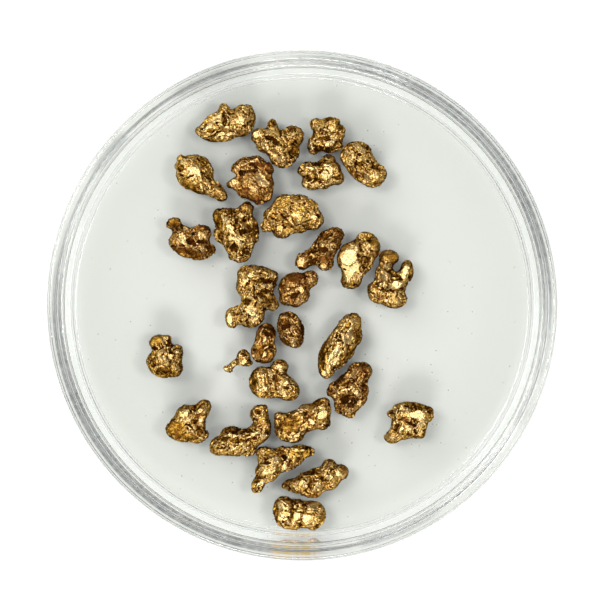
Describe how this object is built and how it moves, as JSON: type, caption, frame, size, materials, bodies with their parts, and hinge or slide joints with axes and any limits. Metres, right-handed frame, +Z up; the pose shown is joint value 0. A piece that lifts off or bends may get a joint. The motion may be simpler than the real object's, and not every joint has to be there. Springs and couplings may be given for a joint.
{
  "type": "gold nugget sample dish",
  "caption": "Shallow round dish of clear glass with a foot ring and a rounded rim, open at the top, with loose native gold nuggets lying in it that each lift out.",
  "frame": {"origin": "centre of the foot ring, on the surface that the dish stands on", "axes": "+Z up out of the mouth; +X to the right and +Y away, as the heap of nuggets is seen from straight above"},
  "size_m": [0.06, 0.06, 0.015],
  "materials": {
    "clear_glass": "clear and polished",
    "native_gold": "natural stream-worn gold, half bright, with fine hammered grain",
    "stained_gold": "natural gold with brown iron stain in its hollows"
  },
  "bodies": {
    "dish": {"dish": "clear_glass"},
    "nugget_01_heart": {"nugget_01_heart": "native_gold"},
    "nugget_02_antler": {"nugget_02_antler": "native_gold"},
    "nugget_03_crest": {"nugget_03_crest": "native_gold"},
    "nugget_04_club": {"nugget_04_club": "native_gold"},
    "nugget_05_capped": {"nugget_05_capped": "stained_gold"},
    "nugget_06_wedge": {"nugget_06_wedge": "native_gold"},
    "nugget_07_saddle": {"nugget_07_saddle": "native_gold"},
    "nugget_08_thumb": {"nugget_08_thumb": "stained_gold"},
    "nugget_09_hide": {"nugget_09_hide": "native_gold"},
    "nugget_10_loaf": {"nugget_10_loaf": "native_gold"},
    "nugget_11_shaded": {"nugget_11_shaded": "stained_gold"},
    "nugget_12_folded": {"nugget_12_folded": "native_gold"},
    "nugget_13_forked": {"nugget_13_forked": "native_gold"},
    "nugget_14_plates": {"nugget_14_plates": "native_gold"},
    "nugget_15_bud": {"nugget_15_bud": "stained_gold"},
    "nugget_16_dark": {"nugget_16_dark": "stained_gold"},
    "nugget_17_pair": {"nugget_17_pair": "stained_gold"},
    "nugget_18_bone": {"nugget_18_bone": "native_gold"},
    "nugget_19_shells": {"nugget_19_shells": "native_gold"},
    "nugget_20_ridge": {"nugget_20_ridge": "native_gold"},
    "nugget_21_knuckles": {"nugget_21_knuckles": "stained_gold"},
    "nugget_22_acorn": {"nugget_22_acorn": "native_gold"},
    "nugget_23_paw": {"nugget_23_paw": "native_gold"},
    "nugget_24_boot": {"nugget_24_boot": "native_gold"},
    "nugget_25_slab": {"nugget_25_slab": "native_gold"},
    "nugget_26_flag": {"nugget_26_flag": "native_gold"},
    "nugget_27_axe": {"nugget_27_axe": "native_gold"},
    "nugget_28_dragon": {"nugget_28_dragon": "native_gold"},
    "nugget_29_lobed": {"nugget_29_lobed": "native_gold"}
  },
  "joints": [
    {"name": "lift_01", "type": "slide", "parent": "dish", "child": "nugget_01_heart", "axis": [0, 0, 1], "range_m": [0, 0.018]},
    {"name": "lift_02", "type": "slide", "parent": "dish", "child": "nugget_02_antler", "axis": [0, 0, 1], "range_m": [0, 0.018]},
    {"name": "lift_03", "type": "slide", "parent": "dish", "child": "nugget_03_crest", "axis": [0, 0, 1], "range_m": [0, 0.018]},
    {"name": "lift_04", "type": "slide", "parent": "dish", "child": "nugget_04_club", "axis": [0, 0, 1], "range_m": [0, 0.018]},
    {"name": "lift_05", "type": "slide", "parent": "dish", "child": "nugget_05_capped", "axis": [0, 0, 1], "range_m": [0, 0.018]},
    {"name": "lift_06", "type": "slide", "parent": "dish", "child": "nugget_06_wedge", "axis": [0, 0, 1], "range_m": [0, 0.018]},
    {"name": "lift_07", "type": "slide", "parent": "dish", "child": "nugget_07_saddle", "axis": [0, 0, 1], "range_m": [0, 0.018]},
    {"name": "lift_08", "type": "slide", "parent": "dish", "child": "nugget_08_thumb", "axis": [0, 0, 1], "range_m": [0, 0.018]},
    {"name": "lift_09", "type": "slide", "parent": "dish", "child": "nugget_09_hide", "axis": [0, 0, 1], "range_m": [0, 0.018]},
    {"name": "lift_10", "type": "slide", "parent": "dish", "child": "nugget_10_loaf", "axis": [0, 0, 1], "range_m": [0, 0.018]},
    {"name": "lift_11", "type": "slide", "parent": "dish", "child": "nugget_11_shaded", "axis": [0, 0, 1], "range_m": [0, 0.018]},
    {"name": "lift_12", "type": "slide", "parent": "dish", "child": "nugget_12_folded", "axis": [0, 0, 1], "range_m": [0, 0.018]},
    {"name": "lift_13", "type": "slide", "parent": "dish", "child": "nugget_13_forked", "axis": [0, 0, 1], "range_m": [0, 0.018]},
    {"name": "lift_14", "type": "slide", "parent": "dish", "child": "nugget_14_plates", "axis": [0, 0, 1], "range_m": [0, 0.018]},
    {"name": "lift_15", "type": "slide", "parent": "dish", "child": "nugget_15_bud", "axis": [0, 0, 1], "range_m": [0, 0.018]},
    {"name": "lift_16", "type": "slide", "parent": "dish", "child": "nugget_16_dark", "axis": [0, 0, 1], "range_m": [0, 0.018]},
    {"name": "lift_17", "type": "slide", "parent": "dish", "child": "nugget_17_pair", "axis": [0, 0, 1], "range_m": [0, 0.018]},
    {"name": "lift_18", "type": "slide", "parent": "dish", "child": "nugget_18_bone", "axis": [0, 0, 1], "range_m": [0, 0.018]},
    {"name": "lift_19", "type": "slide", "parent": "dish", "child": "nugget_19_shells", "axis": [0, 0, 1], "range_m": [0, 0.018]},
    {"name": "lift_20", "type": "slide", "parent": "dish", "child": "nugget_20_ridge", "axis": [0, 0, 1], "range_m": [0, 0.018]},
    {"name": "lift_21", "type": "slide", "parent": "dish", "child": "nugget_21_knuckles", "axis": [0, 0, 1], "range_m": [0, 0.018]},
    {"name": "lift_22", "type": "slide", "parent": "dish", "child": "nugget_22_acorn", "axis": [0, 0, 1], "range_m": [0, 0.018]},
    {"name": "lift_23", "type": "slide", "parent": "dish", "child": "nugget_23_paw", "axis": [0, 0, 1], "range_m": [0, 0.018]},
    {"name": "lift_24", "type": "slide", "parent": "dish", "child": "nugget_24_boot", "axis": [0, 0, 1], "range_m": [0, 0.018]},
    {"name": "lift_25", "type": "slide", "parent": "dish", "child": "nugget_25_slab", "axis": [0, 0, 1], "range_m": [0, 0.018]},
    {"name": "lift_26", "type": "slide", "parent": "dish", "child": "nugget_26_flag", "axis": [0, 0, 1], "range_m": [0, 0.018]},
    {"name": "lift_27", "type": "slide", "parent": "dish", "child": "nugget_27_axe", "axis": [0, 0, 1], "range_m": [0, 0.018]},
    {"name": "lift_28", "type": "slide", "parent": "dish", "child": "nugget_28_dragon", "axis": [0, 0, 1], "range_m": [0, 0.018]},
    {"name": "lift_29", "type": "slide", "parent": "dish", "child": "nugget_29_lobed", "axis": [0, 0, 1], "range_m": [0, 0.018]}
  ]
}
